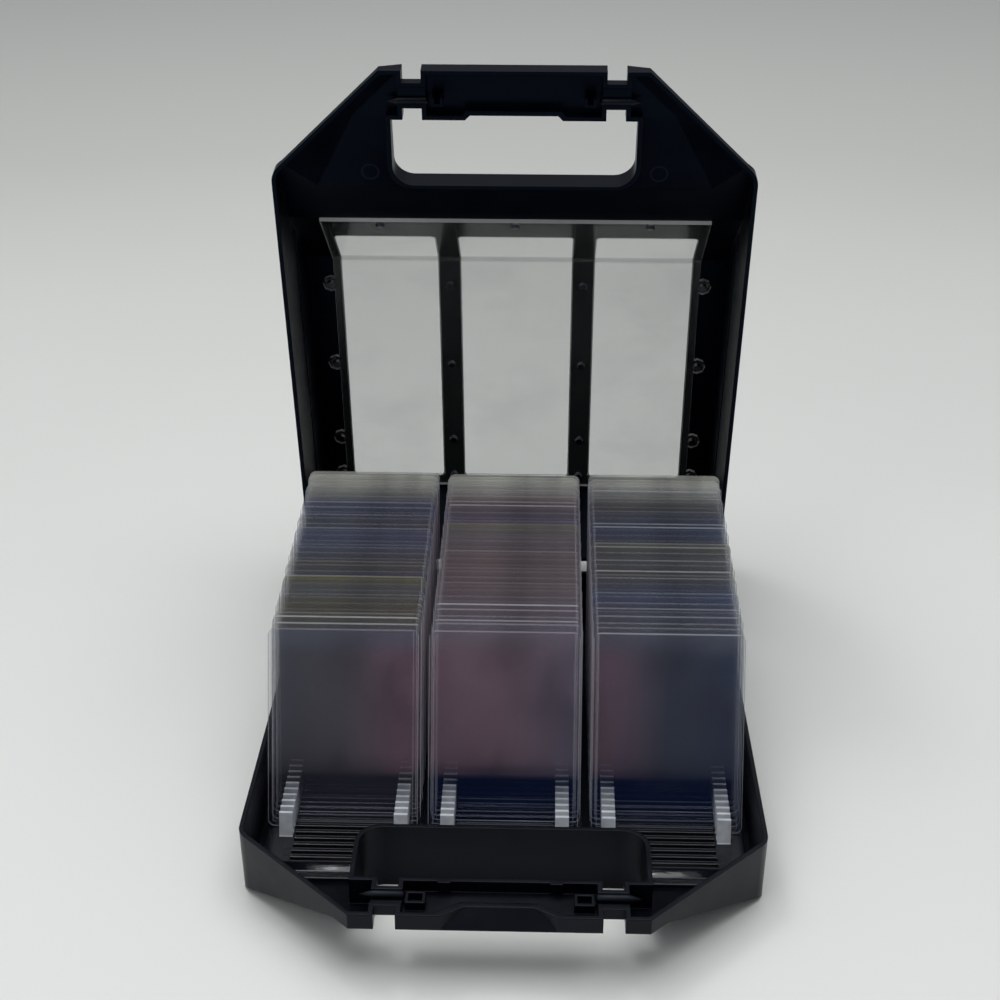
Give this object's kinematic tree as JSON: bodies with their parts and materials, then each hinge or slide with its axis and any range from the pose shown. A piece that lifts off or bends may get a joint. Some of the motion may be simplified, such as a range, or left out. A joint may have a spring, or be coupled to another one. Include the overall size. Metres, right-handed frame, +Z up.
{
  "type": "trading card carry case",
  "caption": "Hinged plastic carry case with a windowed lid, a folding handle bar made by the two halves, and slotted rows of rigid clear card sleeves.",
  "frame": {"origin": "centre of the flat underside of the base", "axes": "+Z up, +Y towards the hinge at the back, +X to the right seen from the handle"},
  "size_m": [0.2538, 0.3904, 0.3495],
  "materials": {
    "case_black": "fine moulded texture",
    "tray_black": "smooth moulded",
    "comb_white": "milky, slightly see-through",
    "clear_panel": "clear acrylic sheet",
    "sleeve_clear": "clear rigid film with dark cards seen through it",
    "screw_steel": "zinc plated",
    "pin_steel": "drawn wire"
  },
  "bodies": {
    "base": {"base_shell": "case_black", "hinge_pin_left": "pin_steel", "hinge_pin_right": "pin_steel", "slot_tray_left": "tray_black", "slot_tray_middle": "tray_black", "slot_tray_right": "tray_black", "comb_left_outer": "comb_white", "comb_left_inner": "comb_white", "comb_middle_left": "comb_white", "comb_middle_right": "comb_white", "comb_right_inner": "comb_white", "comb_right_outer": "comb_white", "card_sleeves_left": "sleeve_clear", "card_sleeves_middle": "sleeve_clear", "card_sleeves_right": "sleeve_clear", "front_sleeve_left": "sleeve_clear", "front_sleeve_middle": "sleeve_clear", "front_sleeve_right": "sleeve_clear"},
    "lid": {"lid_shell": "case_black", "window_panel": "clear_panel", "window_screws": "screw_steel"}
  },
  "joints": [
    {"name": "lid_hinge", "type": "hinge", "parent": "base", "child": "lid", "pos_m": [0, 0.1341, 0.03545], "axis": [1, 0, 0], "range_deg": [0, 81.3]}
  ]
}
